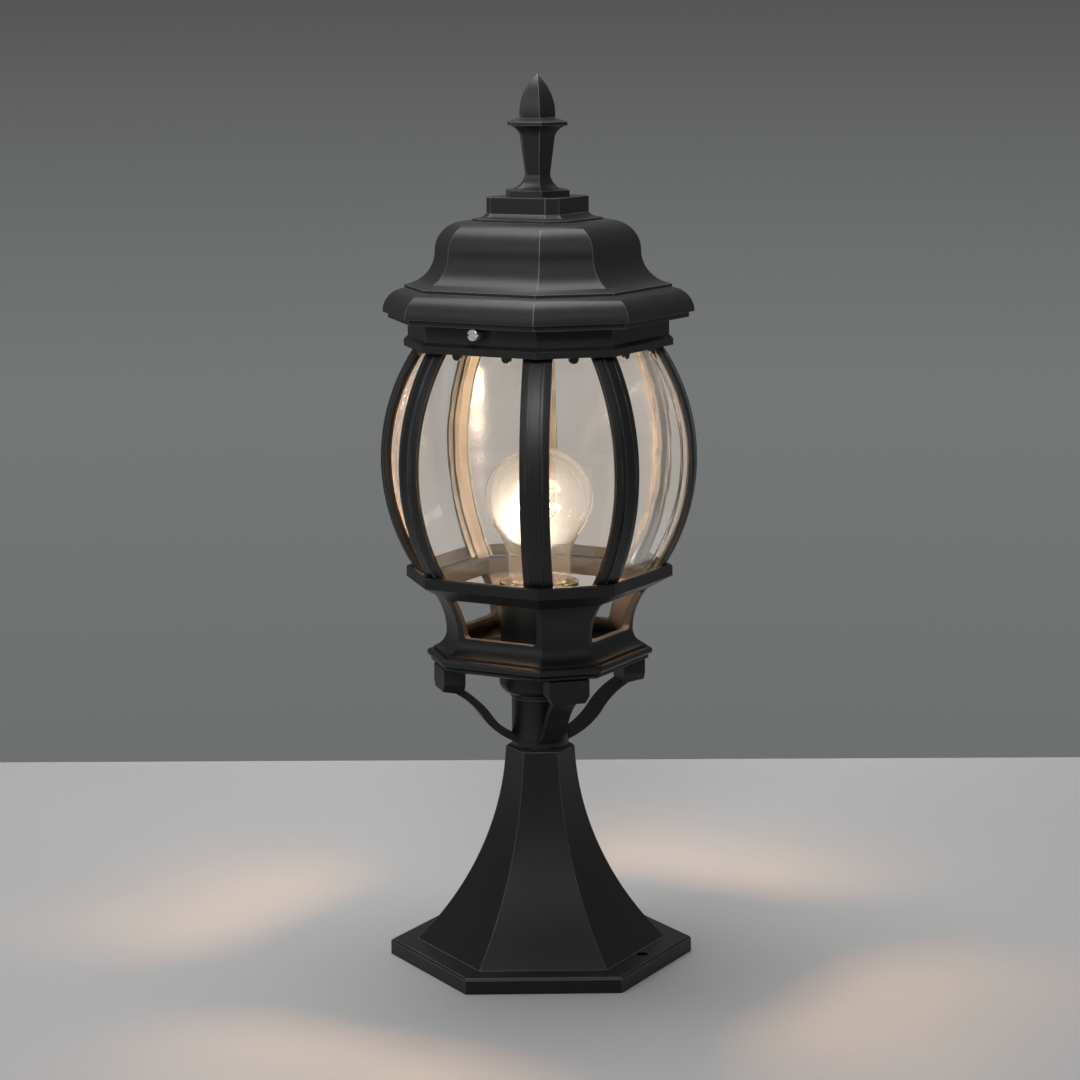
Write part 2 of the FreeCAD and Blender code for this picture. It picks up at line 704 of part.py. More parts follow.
wide_pane = boolean("Common", "wide_pane", glass_skin, pane("wide", "+"))
narrow_wedge = pane("narrow", "-")
narrow_wedge.Placement = Placement(Vector(), Rotation(Vector(0, 0, 1), 45))
narrow_pane = boolean("Common", "narrow_pane", glass_skin, narrow_wedge)
panes = quarter_copies("wide_pane", wide_pane) + quarter_copies("narrow_pane", narrow_pane)
for n, glass in enumerate(panes, start=1):
    pieces[f"pane_{n}"] = glass

# Frieze ring
band_top = f"({FRIEZE_FOOT} + band_height)"
frieze_outer = mitred("frieze_outer", [
    (f"{FRIEZE_APOTHEM} + band_reach", FRIEZE_FOOT),
    (f"{FRIEZE_APOTHEM} + band_reach", band_top),
    (FRIEZE_APOTHEM, f"{band_top} + band_slope"),
    (FRIEZE_APOTHEM, FRIEZE_TOP),
])
frieze_lower = mitred("frieze_lower", [
    (FRIEZE_INNER, f"{FRIEZE_FOOT} - 1"),
    (FRIEZE_INNER, CAGE_TOP),
])
frieze_upper = mitred("frieze_upper", [
    (FRIEZE_INNER, f"{CAGE_TOP} + shelf_thickness"),
    (FRIEZE_INNER, f"{FRIEZE_TOP} + 1"),
])
throat_apothem = f"({bulge_apothem(BACK_OFFSET, CAGE_TOP)} - shelf_land)"
throat = mitred("throat", [
    (throat_apothem, CAGE_TOP),
    (throat_apothem, f"{CAGE_TOP} + shelf_thickness + 1"),
])
frieze_shell = without("frieze_shell", frieze_outer, frieze_lower, frieze_upper, throat)
tab_foot = f"({FRIEZE_FOOT} - tab_drop)"
tab_face = f"({FRIEZE_INNER} + tab_thickness)"
tab_side = outline("tab_side", half_turned([
    ("tab_toe", tab_foot, "tab_width / 2", 1),
    ("tab_width / 2", f"{tab_foot} + tab_width / 2"),
    ("tab_width / 2", f"{FRIEZE_FOOT} + band_height / 2"),
]), STANDING)
tab_blank = extruded("tab_blank", tab_side, "tab_thickness")


def tab(name, apothem, along):
    """Rounded lug before the head of the pane at +X, set along Y."""
    lug = doc.addObject("Part::Compound", name)
    lug.Links = [tab_blank]
    lug.Placement = Placement(Vector(), Rotation(Vector(0, 0, 1), 90))
    bind(lug, Placement__Base__x=f"{apothem} - tab_thickness / 2", Placement__Base__y=along)
    return lug


wide_tabs = [tab("tab_a", tab_face, "tab_spread / 2"), tab("tab_b", tab_face, "0 - tab_spread / 2")]
narrow_tab = tab("tab_c", f"({tab_face} + corner_reach)", "0")
tabs = [copy for n, lug in enumerate(wide_tabs) for copy in quarter_copies(f"wide_tab{n}", lug)]
tabs += quarter_copies("narrow_tab", narrow_tab, first=45.0)
clamp_level = f"({FRIEZE_FOOT} + clamp_height)"
clamp_hole = drill("clamp_hole", "clamp_shank / 2 + thread_clearance", "(0 - flange_flats)", "flange_flats")
clamp_hole.Placement = Placement(Vector(), Rotation(Vector(1, 0, 0), 90))
clamp_hole.setExpression("Placement.Base.y", bound("flange_flats"))
clamp_hole.setExpression("Placement.Base.z", bound(clamp_level))
frieze = joined("frieze_tabbed", [frieze_shell, *tabs])
pieces["frieze_ring"] = boolean("Cut", "frieze_form", frieze, clamp_hole)

# Clamp screws of the roof, turned upright and laid over to the front and the back
clamp_tip = f"({SKIRT_APOTHEM} + clamp_tip_gap)"
clamp_neck = f"({FRIEZE_APOTHEM} + clamp_standoff)"
clamp_end = f"({clamp_neck} + clamp_head_height)"
clamp_body = turned("clamp_body", [
    ("0", clamp_tip),
    ("clamp_shank / 2", clamp_tip),
    ("clamp_shank / 2", clamp_neck),
    ("clamp_head / 2", clamp_neck),
    ("clamp_head / 2", clamp_end),
    ("0", clamp_end),
])
clamp_slot = brick("clamp_slot_tool", "clamp_head * 2", "clamp_slot", "clamp_head_height", "0", "0",
                   f"{clamp_end} - clamp_head_height / 3")
clamp_blank = boolean("Cut", "clamp_blank", clamp_body, clamp_slot)
for name, lean in (("roof_screw_front", 90), ("roof_screw_back", -90)):
    screw = doc.addObject("Part::Compound", f"{name}_laid")
    screw.Links = [clamp_blank]
    screw.Placement = Placement(Vector(), Rotation(Vector(1, 0, 0), lean))
    bind(screw, Placement__Base__z=clamp_level)
    pieces[name] = screw

# Roof
roll_edge = f"({FASCIA_APOTHEM} + roll_reach)"
roof_outer = mitred("roof_outer", [
    (FASCIA_APOTHEM, f"{FRIEZE_TOP} - drip_height"),
    (FASCIA_APOTHEM, ROLL_FOOT),
    (roll_edge, ROLL_FOOT, "roll_radius", 1),
    (ROLL_APOTHEM, ROLL_TOP),
    (ROLL_APOTHEM, DOME_FOOT, "roof_cove_radius", -1),
    ("dome_apothem", DOME_WAIST, "dome_radius", 1),
    ("dome_apothem - dome_run", DOME_TOP),
    ("ledge_apothem", DOME_TOP),
    ("ledge_apothem", f"{DOME_TOP} + ledge_height", "collar_cove_radius", -1),
    ("collar_apothem", COLLAR_FOOT),
    ("collar_apothem", COLLAR_TOP),
])
soffit = mitred("soffit", [
    (f"{FASCIA_APOTHEM} - drip_thickness", f"{FRIEZE_TOP} - drip_height - 1"),
    (f"{FASCIA_APOTHEM} - drip_thickness", FRIEZE_TOP),
])
cavity_foot = f"({SKIRT_APOTHEM} - skirt_thickness)"
dome_inner = "(dome_apothem - roof_wall)"
roof_inner = mitred("roof_inner", [
    (cavity_foot, f"{FRIEZE_TOP} - 1"),
    (cavity_foot, f"{ROLL_TOP} - roof_wall", "roof_cove_radius + roof_wall", -1),
    (dome_inner, DOME_WAIST, "dome_radius - roof_wall", 1),
    ("dome_apothem - dome_run", f"{DOME_TOP} - roof_wall"),
    ("collar_apothem - roof_wall", f"{DOME_TOP} - roof_wall"),
    ("collar_apothem - roof_wall", f"{COLLAR_TOP} - roof_top_thickness"),
])
skirt_foot = f"({FRIEZE_TOP} - skirt_depth)"
skirt_outer = mitred("skirt_outer", [(SKIRT_APOTHEM, skirt_foot), (SKIRT_APOTHEM, FRIEZE_TOP)])
skirt_inner = mitred("skirt_inner", [
    (cavity_foot, f"{skirt_foot} - 1"),
    (cavity_foot, f"{FRIEZE_TOP} + 1"),
])
roof_shell = without("roof_shell", roof_outer, soffit, roof_inner)
pieces["roof_skirt"] = boolean("Cut", "roof_skirt_form", skirt_outer, skirt_inner)
stud_hole = drill("stud_hole", "stud_diameter / 2 + stud_clearance", f"({COLLAR_FOOT})",
                  f"({COLLAR_TOP} + 1)")
pieces["roof"] = boolean("Cut", "roof_form", roof_shell, stud_hole)

# Finial with its stud, nut and washer
waist_level = f"({COLLAR_TOP} + finial_foot_height + finial_waist_rise)"
neck_level = f"({waist_level} + finial_neck_rise)"
cup_level = f"({neck_level} + finial_cup_rise)"
rim_level = f"({cup_level} + finial_rim)"
spade_level = f"({rim_level} + finial_spade_foot)"
spire = mitred("spire", [
    ("finial_foot_flats / 2", COLLAR_TOP),
    ("finial_foot_flats / 2", f"{COLLAR_TOP} + finial_foot_height", "finial_foot_cove", -1),
    ("finial_waist_flats / 2", waist_level),
    ("finial_neck_flats / 2", neck_level, "finial_cup_cove", -1),
    ("finial_cup_flats / 2", cup_level),
    ("finial_cup_flats / 2", rim_level),
    ("finial_spade_flats / 2", spade_level, "finial_spade_radius", 1),
    ("0", f"{spade_level} + finial_spade_rise"),
], HEXAGON, SIZES["finial_turn"])
stud = drill("stud", "stud_diameter / 2", f"({COLLAR_TOP} - stud_length)", f"({COLLAR_TOP} + 1)")
pieces["finial"] = joined("finial_form", [spire, stud])
roof_ceiling = f"({COLLAR_TOP} - roof_top_thickness)"
washer_foot = f"({roof_ceiling} - stud_washer_height)"
pieces["finial_washer"] = ring("finial_washer_form", "stud_washer / 2",
                               "stud_diameter / 2 + stud_clearance", washer_foot, roof_ceiling)
pieces["finial_nut"] = hex_nut("finial_nut_form", "stud_nut_flats", "stud_nut_height", "stud_diameter / 2",
                               f"({washer_foot} - stud_nut_height)")

# Threaded tube, nuts and washer
strap_foot = f"({BASE_CEILING} - strap_thickness)"
tube_washer_foot = f"({strap_foot} - tube_washer_height)"
tube_nut_foot = f"({tube_washer_foot} - tube_nut_height)"
tube_top = f"({HOLDER_FLOOR} + tube_locknut_height + tube_head)"
pieces["threaded_tube"] = ring("threaded_tube_form", "tube_diameter / 2", "tube_bore / 2",
                               f"({tube_nut_foot} - tube_tail)", tube_top)
pieces["tube_washer_lower"] = ring("tube_washer_form", "tube_washer / 2", TUBE_HOLE, tube_washer_foot,
                                   strap_foot)
pieces["tube_nut_lower"] = hex_nut("tube_nut_lower_form", "tube_nut_flats", "tube_nut_height",
                                   "tube_diameter / 2", tube_nut_foot)
pieces["tube_nut_upper"] = hex_nut("tube_nut_upper_form", "tube_nut_flats", "tube_locknut_height",
                                   "tube_diameter / 2", HOLDER_FLOOR)

# Lampholder
holder_top = f"({FLOOR_TOP} + holder_height)"
pieces["lampholder_shell"] = turned("lampholder_shell_form", [
    (TUBE_HOLE, FLOOR_TOP),
    ("holder_diameter / 2", FLOOR_TOP),
    ("holder_diameter / 2", holder_top),
    ("holder_diameter / 2 - holder_wall", holder_top),
    ("holder_diameter / 2 - holder_wall", HOLDER_FLOOR),
    (TUBE_HOLE, HOLDER_FLOOR),
])
insert_out = "insert_diameter / 2"
insert_bore = "(shell_diameter / 2 + insert_clearance)"
insert_top = f"({HOLDER_FLOOR} + insert_height)"
pieces["lampholder_insert"] = turned("lampholder_insert_form", [
    ("insert_cellar_bore / 2", HOLDER_FLOOR),
    (insert_out, HOLDER_FLOOR),
    (insert_out, insert_top),
    (insert_bore, insert_top),
    (insert_bore, SHELL_FOOT),
    ("0", SHELL_FOOT),
    ("0", INSERT_DISC),
    ("insert_cellar_bore / 2", INSERT_DISC),
])
pieces["screw_shell"] = ring("screw_shell_form", "shell_diameter / 2", "shell_diameter / 2 - shell_wall",
                             SHELL_FOOT, f"({SHELL_FOOT} + shell_height)")
contact_edge = f"({SHELL_FOOT} + contact_height)"
pieces["centre_contact"] = turned("centre_contact_form", [
    ("0", SHELL_FOOT),
    ("contact_diameter / 2", SHELL_FOOT),
    ("contact_diameter / 4", contact_edge),
    ("0", contact_edge),
])

# Bulb
cap_edge = f"({BULB_FOOT} + tip_height + cap_cone_height)"
cap_top = f"({BULB_FOOT} + cap_height)"
cap_inner = "(cap_diameter / 2 - cap_wall)"
pieces["bulb_cap"] = turned("bulb_cap_form", [
    ("0", BULB_FOOT),
    ("tip_diameter / 2", BULB_FOOT),
    ("tip_diameter / 2", f"{BULB_FOOT} + tip_height"),
    ("cap_diameter / 2", cap_edge),
    ("cap_diameter / 2", cap_top),
    (cap_inner, cap_top),
    (cap_inner, f"{cap_edge} + cap_wall"),
    ("0", f"{cap_edge} + cap_wall"),
])
globe = "(bulb_diameter / 2)"
bulb_top = f"({BULB_FOOT} + bulb_height)"
globe_middle = f"({bulb_top} - {globe})"
globe_neck = f"({globe_middle} - bulb_shoulder_drop)"
neck_in = f"({cap_inner} - neck_clearance)"
envelope_foot = f"({cap_top} - cap_cone_height)"
bulb_throat = f"({BULB_FOOT} + bulb_neck_height)"
inner_globe = f"({globe} - bulb_wall)"
pieces["bulb_envelope"] = turned("bulb_envelope_form", [
    (neck_in, envelope_foot),
    (neck_in, cap_top),
    ("bulb_neck / 2", bulb_throat, "bulb_neck_radius", -1),
    (f"sqrt({globe}^2 - bulb_shoulder_drop^2)", globe_neck, globe, 1),
    (globe, globe_middle, globe, 1),
    ("0", bulb_top),
    ("0", f"{bulb_top} - bulb_wall", inner_globe, -1),
    (inner_globe, globe_middle, inner_globe, -1),
    (f"sqrt({inner_globe}^2 - bulb_shoulder_drop^2)", globe_neck, "bulb_neck_radius", 1),
    ("bulb_neck / 2 - bulb_wall", bulb_throat),
    (f"{neck_in} - bulb_wall", cap_top),
    (f"{neck_in} - bulb_wall", envelope_foot),
])
mount_foot = f"({cap_edge} + cap_wall)"
mount_top = f"({BULB_FOOT} + mount_height)"
pieces["bulb_mount"] = turned("bulb_mount_form", [
    ("0", mount_foot),
    ("mount_flare / 2", mount_foot),
    ("mount_flare / 2", f"{mount_foot} + mount_flare_height"),
    ("mount_stalk / 2", cap_top),
    ("mount_stalk / 2", mount_top),
    ("0", mount_top),
])
filament_level = f"({BULB_FOOT} + filament_height)"
filament = doc.addObject("Part::Torus", "filament_form")
bind(filament, Radius1="filament_ring / 2", Radius2="filament_wire / 2",
     Placement__Base__z=filament_level)
filament.Angle3 = 290.0
pieces["filament"] = filament
supports = []
for n, turn in enumerate((0, 97, 193, 290), start=1):
    wire = doc.addObject("Part::Cylinder", f"support_{n}")
    rise = number(f"{filament_level} - {mount_top} + support_lap")
    run = Vector(number("filament_ring / 2 - mount_stalk / 4"), 0, rise)
    lean = Rotation(Vector(0, 0, 1), run)
    aim = Rotation(Vector(0, 0, 1), turn)
    start = aim.multVec(Vector(number("mount_stalk / 4"), 0, number(f"{mount_top} - support_lap")))
    wire.Placement = Placement(start, aim.multiply(lean))
    bind(wire, Radius="support_wire / 2")
    wire.Height = run.Length
    supports.append(boolean("Cut", f"support_cut_{n}", wire, filament))
support_group = doc.addObject("Part::Compound", "support_group")
support_group.Links = supports
mount_clear = pieces["bulb_mount"]
pieces["filament_supports"] = boolean("Cut", "supports_form", support_group, mount_clear)

# Wiring in the foot
strap_x = "(0 - strap_reach + strap_thickness / 2)"
strap_tab = brick("strap_tab", "strap_reach * 2 - strap_setback", "strap_width", "strap_thickness",
                  "(0 - strap_setback / 2)", "0", strap_foot)
strap_leg = brick("strap_leg", "strap_thickness", "strap_width", "strap_drop", strap_x, "0", TERMINAL_FOOT)
strap_bore = drill("strap_bore", TUBE_HOLE, f"({strap_foot} - 1)", f"({BASE_CEILING} + 1)")
pieces["terminal_bracket"] = boolean("Cut", "strap_form", joined("strap_bent", [strap_tab, strap_leg]),
                                     strap_bore)
block_width = "(2 * (strap_reach - strap_thickness))"
terminal_top = f"({TERMINAL_FOOT} + terminal_height)"
terminal = brick("terminal", block_width, "block_length", "terminal_height", "0", "0", TERMINAL_FOOT)
screw_x = "(strap_reach - strap_thickness)"
terminal_cuts = []
terminal_screws = []
for n in (-1, 0, 1):
    along = f"({n} * terminal_pitch)"
    well = doc.addObject("Part::Cylinder", f"terminal_well_{n + 2}")
    well.Placement = Placement(Vector(), Rotation(Vector(0, 1, 0), 90))
    bind(well, Radius="terminal_screw / 2", Height="terminal_screw_height",
         Placement__Base__x=f"{screw_x} - terminal_screw_height", Placement__Base__y=along,
         Placement__Base__z=f"{TERMINAL_FOOT} + terminal_height / 2")
    entry = drill(f"terminal_entry_{n + 2}", "terminal_entry / 2", f"({TERMINAL_FOOT} - 1)",
                  f"({TERMINAL_FOOT} + terminal_height / 3)", "0", along)
    terminal_cuts += [well, entry]
    head = doc.addObject("Part::Cylinder", f"terminal_head_{n + 2}")
    head.Placement = Placement(Vector(), Rotation(Vector(0, 1, 0), 90))
    bind(head, Radius="terminal_screw / 2", Height="terminal_screw_height - terminal_screw_sink",
         Placement__Base__x=f"{screw_x} - terminal_screw_height", Placement__Base__y=along,
         Placement__Base__z=f"{TERMINAL_FOOT} + terminal_height / 2")
    slot = brick(f"terminal_slot_{n + 2}", "2 * terminal_slot_depth", "2 * terminal_screw", "terminal_slot",
                 f"({screw_x} - terminal_screw_sink)", along,
                 f"{TERMINAL_FOOT} + terminal_height / 2 - terminal_slot / 2")
    terminal_screws.append(boolean("Cut", f"terminal_screw_{n + 2}", head, slot))
pieces["terminal_block"] = without("terminal_block_form", terminal, *terminal_cuts)
terminal_group = doc.addObject("Part::Compound", "terminal_group")
terminal_group.Links = terminal_screws
pieces["terminal_screws"] = terminal_group
pieces["lamp_lead"] = drill("lamp_lead_form", "lead_diameter / 2", terminal_top, INSERT_DISC)

# Checks and files
doc.recompute()
for thing in doc.Objects:
    if "Invalid" in thing.State or "Error" in thing.State:
        raise RuntimeError(f"{thing.Label} did not build: {thing.State}")
os.makedirs("parts", exist_ok=True)
for label, thing in pieces.items():
    thing.Label = label
    shape = thing.Shape
    if shape.isNull() or not shape.isValid() or not shape.Solids:
        raise RuntimeError(f"{label} has no sound solid")
    shape.exportStep(f"parts/{label}.step")
    print(f"{label}: {len(shape.Solids)} solid, {shape.Volume / 1000:.2f} cm3")
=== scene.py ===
# %% [markdown]
# # A pedestal lamp, dressed for its portrait
# The lamp is a set of black castings round a lit bulb. The shapes come from a CAD frame that is loaded
# first, and nothing in it is moved. This lesson gives the castings soft edges and a powder coat, bends
# clear panes between the ribs, blows a bulb and coils its filament, and then lights the lot.

# %% Load the frame
import bmesh
import bpy
import json
import math
from mathutils import Matrix, Vector

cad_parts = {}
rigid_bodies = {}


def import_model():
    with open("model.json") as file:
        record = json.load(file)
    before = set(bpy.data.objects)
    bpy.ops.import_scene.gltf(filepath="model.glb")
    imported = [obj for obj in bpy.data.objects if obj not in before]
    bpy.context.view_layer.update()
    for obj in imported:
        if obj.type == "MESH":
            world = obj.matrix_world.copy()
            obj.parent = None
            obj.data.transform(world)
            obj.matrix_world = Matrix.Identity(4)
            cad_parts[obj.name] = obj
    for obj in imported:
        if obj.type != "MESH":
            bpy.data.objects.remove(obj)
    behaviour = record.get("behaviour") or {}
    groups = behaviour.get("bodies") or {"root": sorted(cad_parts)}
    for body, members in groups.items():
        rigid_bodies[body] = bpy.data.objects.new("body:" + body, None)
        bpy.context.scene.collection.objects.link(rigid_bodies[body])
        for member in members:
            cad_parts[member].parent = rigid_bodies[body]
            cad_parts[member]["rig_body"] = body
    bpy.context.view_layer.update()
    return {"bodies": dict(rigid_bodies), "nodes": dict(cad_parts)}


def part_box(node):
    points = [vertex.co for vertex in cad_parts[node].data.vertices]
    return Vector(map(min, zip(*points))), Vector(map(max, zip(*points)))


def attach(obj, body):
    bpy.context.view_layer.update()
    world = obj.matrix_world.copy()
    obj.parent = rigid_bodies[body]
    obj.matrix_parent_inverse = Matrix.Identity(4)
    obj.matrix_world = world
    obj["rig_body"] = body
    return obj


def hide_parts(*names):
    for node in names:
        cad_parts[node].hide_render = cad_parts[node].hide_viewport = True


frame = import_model()
nodes = frame["nodes"]
scene = bpy.context.scene
MM = 0.001

# %% [markdown]
# ## Helpers for the finishes
# A colour is written as the hex value one would pick from a photo, and the renderer wants linear light,
# so one function turns one into the other. A second function adds a node, sets its options and fills or
# links its sockets, so that each finish below reads as a short recipe. A third starts a finish, with
# patterns placed by the piece's own coordinates.


# %% Colour and node helpers
MIXED_COLOUR = 2  # the place of the colour among the outputs of a Mix node


def linear(hex_colour):
    parts = [int(hex_colour[i:i + 2], 16) / 255 for i in (1, 3, 5)]
    return tuple(c / 12.92 if c <= 0.04045 else ((c + 0.055) / 1.055) ** 2.4 for c in parts) + (1.0,)


def add(tree, kind, sockets=None, **settings):
    node = tree.nodes.new(kind)
    for key, value in settings.items():
        setattr(node, key, value)
    for key, value in (sockets or {}).items():
        if isinstance(value, bpy.types.NodeSocket):
            tree.links.new(value, node.inputs[key])
        else:
            node.inputs[key].default_value = value
    return node


def start_finish(name):
    finish = bpy.data.materials.new(name)
    finish.use_nodes = True
    tree = finish.node_tree
    shader = tree.nodes["Principled BSDF"]
    place = add(tree, "ShaderNodeTexCoord").outputs["Object"]
    return finish, tree, shader, place


print("black at 0x24 is", round(linear("#242424")[0], 4), "in linear light")

# %% [markdown]
# ## Black powder coat on cast aluminium
# Powder is sprayed on dry and melted in an oven. It flows into a satin skin with a fine grain, called
# orange peel, about a millimetre across, over the slower swells of the sand casting underneath. Both are
# too shallow to model, so they go in as bump at their real sizes, and the grain also makes the gloss a
# little uneven. Melting powder draws back from sharp edges, which show as thin paler lines that also carry
# a painted highlight. The faces inside the lantern that look at the bulb get a lighter coat, painted light.

# %% Powder coat
PEEL = 0.9 * MM
SWELL = 16 * MM


def powder_coat(name, dark, light, metallic=0.0):
    finish, tree, shader, place = start_finish(name)
    peel = add(tree, "ShaderNodeTexNoise", {"Vector": place, "Scale": 1 / PEEL, "Detail": 2.0})
    swell = add(tree, "ShaderNodeTexNoise", {"Vector": place, "Scale": 1 / SWELL, "Detail": 3.0})
    tone = add(tree, "ShaderNodeMix", {"Factor": swell.outputs["Fac"], "A": linear(dark),
                                       "B": linear(light)}, data_type="RGBA")
    gloss = add(tree, "ShaderNodeMapRange", {"Value": peel.outputs["Fac"], "To Min": 0.36, "To Max": 0.52})
    low_bump = add(tree, "ShaderNodeBump", {"Height": swell.outputs["Fac"], "Strength": 0.10,
                                            "Distance": 0.9 * MM})
    bump = add(tree, "ShaderNodeBump", {"Height": peel.outputs["Fac"], "Strength": 0.16,
                                        "Distance": 0.12 * MM, "Normal": low_bump.outputs["Normal"]})
    tree.links.new(tone.outputs[MIXED_COLOUR], shader.inputs["Base Color"])
    tree.links.new(gloss.outputs["Result"], shader.inputs["Roughness"])
    tree.links.new(bump.outputs["Normal"], shader.inputs["Normal"])
    shader.inputs["Metallic"].default_value = metallic
    shader.inputs["Specular IOR Level"].default_value = 0.40
    return finish


# A full coat is a deep satin black, with soft and slightly broken highlights.
full_coat = powder_coat("powder_coat_satin_black_on_cast_aluminium", "#0d0d0e", "#161617")
# Where the powder has drawn back from an edge, it leaves a thin grey line, which also carries a painted
# highlight.
thin_coat_and_highlight = powder_coat("powder_coat_drawn_thin_with_painted_highlight_on_edges", "#29292a", "#727273")
# Painted light: faces that look at the bulb get a lighter, part-metallic copy of the coat, which the bulb
# lights warm.
lit_coat_facing_bulb = powder_coat("powder_coat_painted_lighter_facing_bulb", "#2e2f34", "#5c5d61", 0.3)
print("finishes:", full_coat.name, thin_coat_and_highlight.name, lit_coat_facing_bulb.name)

# %% [markdown]
# ## Clear glass
# The panes are sheet glass, heated until they sag over a former, so they carry faint upright streaks and
# slow ripples. Light from inside real glass falls on what is outside. Traced light can't easily find its
# way through two bends of glass, so lamp rays alone are let straight through, and everything else bends
# as glass should.


# %% Glass
def clear_glass(name, tint, streak_mm, streak_depth, ripple_mm, ripple_depth):
    finish, tree, shader, place = start_finish(name)
    shader.inputs["Base Color"].default_value = linear(tint)
    shader.inputs["Roughness"].default_value = 0.0
    shader.inputs["IOR"].default_value = 1.5
    shader.inputs["Transmission Weight"].default_value = 1.0
    normal = None
    for stretch, size, depth in (((1.0, 1.0, 0.12), streak_mm, streak_depth),
                                 ((0.15, 0.15, 1.0), ripple_mm, ripple_depth)):
        drawn = add(tree, "ShaderNodeMapping", {"Vector": place, "Scale": stretch})
        wave = add(tree, "ShaderNodeTexNoise", {"Vector": drawn.outputs["Vector"], "Scale": 1 / (size * MM),
                                                "Detail": 1.0})
        bump = add(tree, "ShaderNodeBump", {"Height": wave.outputs["Fac"], "Distance": depth * MM})
        if normal:
            tree.links.new(normal, bump.inputs["Normal"])
        normal = bump.outputs["Normal"]
    tree.links.new(normal, shader.inputs["Normal"])
    ray = add(tree, "ShaderNodeLightPath")
    clear = add(tree, "ShaderNodeBsdfTransparent", {"Color": linear(tint)})
    mix = add(tree, "ShaderNodeMixShader", {0: ray.outputs["Is Shadow Ray"], 1: shader.outputs["BSDF"],
                                            2: clear.outputs["BSDF"]})
    tree.links.new(mix.outputs["Shader"], tree.nodes["Material Output"].inputs["Surface"])
    return finish


# Bent sheet glass is clear and all but colourless, with wavering reflections.
pane_glass = clear_glass("sheet_glass_clear_bent", "#fbfdfc", 7, 0.03, 14, 0.25)
# Blown glass round a lit coil is clear too, and the glass is given a faint warm glow of its own: painted
# light.
bulb_glass = clear_glass("soda_glass_clear_blown", "#fffdfa", 9, 0.03, 20, 0.03)
# Painted light: the bulb's glass itself emits a faint warm glow.
painted_glass_glow = bulb_glass.node_tree.nodes["Principled BSDF"]
painted_glass_glow.inputs["Emission Color"].default_value = linear("#ffdcb4")
painted_glass_glow.inputs["Emission Strength"].default_value = 0.04
print("finishes:", pane_glass.name, bulb_glass.name)

# %% [markdown]
# ## The small metals, the lampholder and the wiring
# These are seen only in glimpses, but each still has its own surface: plating is drawn with fine turning
# marks, thermoset and ceramic with a slight mottle. One function mixes two tones by a grain of a given
# size, and the shader's own numbers do the rest. Real turning and drawing marks are finer than a tenth of
# a millimetre, so they are drawn several times coarser here, or they would not show.


# %% Small finishes
def grained(name, dark, light, grain_mm, roughness, metallic=0.0, stretch=(1.0, 1.0, 1.0), bump_mm=0.02):
    finish, tree, shader, place = start_finish(name)
    drawn = add(tree, "ShaderNodeMapping", {"Vector": place, "Scale": stretch})
    grain = add(tree, "ShaderNodeTexNoise", {"Vector": drawn.outputs["Vector"],
                                             "Scale": 1 / (grain_mm * MM), "Detail": 3.0})
    tone = add(tree, "ShaderNodeMix", {"Factor": grain.outputs["Fac"], "A": linear(dark),
                                       "B": linear(light)}, data_type="RGBA")
    gloss = add(tree, "ShaderNodeMapRange", {"Value": grain.outputs["Fac"], "To Min": roughness * 0.8,
                                             "To Max": roughness * 1.2})
    bump = add(tree, "ShaderNodeBump", {"Height": grain.outputs["Fac"], "Strength": 0.2,
                                        "Distance": bump_mm * MM})
    tree.links.new(tone.outputs[MIXED_COLOUR], shader.inputs["Base Color"])
    tree.links.new(gloss.outputs["Result"], shader.inputs["Roughness"])
    tree.links.new(bump.outputs["Normal"], shader.inputs["Normal"])
    shader.inputs["Metallic"].default_value = metallic
    return finish


# Zinc plate is a cool pale grey; on the clamp screws it is brighter and glitters on its tool marks.
zinc = grained("zinc_plated_steel_turned", "#b9bbbd", "#dfe1e3", 0.8, 0.24, 1.0, (1.0, 0.2, 1.0))
bright_zinc = grained("zinc_plated_steel_bright", "#d6d8da", "#ffffff", 1.4, 0.34, 1.0, bump_mm=0.25)
# Nickel plate is a warmer grey, drawn round the cap by rolling; bare brass is yellow and duller.
nickel = grained("nickel_plated_brass_rolled", "#a9a59b", "#cfcbc0", 1.2, 0.26, 1.0, (1.0, 1.0, 0.2))
brass = grained("brass_turned", "#a97d33", "#caa04e", 0.8, 0.30, 1.0)
# Moulded phenolic is a dull black, glazed steatite a glossy cream, polyamide a dull white.
thermoset = grained("phenolic_moulded_black", "#121213", "#1c1c1d", 2.5, 0.42)
steatite = grained("steatite_glazed_white", "#d8d4c8", "#efece2", 3.0, 0.22)
polyamide = grained("polyamide_moulded_white", "#d5d4cd", "#e9e8e2", 2.0, 0.50)
# A rubber sheath is black with hardly any shine.
rubber = grained("rubber_sheath_black", "#161616", "#242424", 1.5, 0.62)
# Cold tungsten is a brownish grey, and the coil outshines everything.
tungsten = grained("tungsten_wire_drawn", "#6f6a62", "#8d877c", 0.3, 0.35, 1.0)
hot_tungsten = grained("tungsten_coil_glowing", "#ffd9a0", "#fff0d0", 0.3, 0.5)
hot = hot_tungsten.node_tree.nodes["Principled BSDF"]
hot.inputs["Emission Color"].default_value = linear("#ffc27a")
hot.inputs["Emission Strength"].default_value = 600.0
small_finishes = (zinc, bright_zinc, nickel, brass, thermoset, steatite, polyamide, rubber, tungsten,
                  hot_tungsten)
print("small finishes:", [finish.name for finish in small_finishes])

# %% [markdown]
# ## From a bmesh to a piece
# A new shape is built in a bmesh, which is only points, edges and faces. To be seen it needs a mesh, an
# object and a finish. To belong to the lamp it also rides on one of the lamp's bodies, and it takes the
# place of a CAD node, which is then hidden.


# %% Object helpers
def as_object(name, bm, finish):
    mesh = bpy.data.meshes.new(name)
    bm.to_mesh(mesh)
    bm.free()
    mesh.materials.append(finish)
    thing = bpy.data.objects.new(name, mesh)
    scene.collection.objects.link(thing)
    return thing


def finish_piece(name, bm, finish, body, node):
    for face in bm.faces:
        face.smooth = True
    piece = as_object(name, bm, finish)
    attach(piece, body)
    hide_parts(node)
    return piece
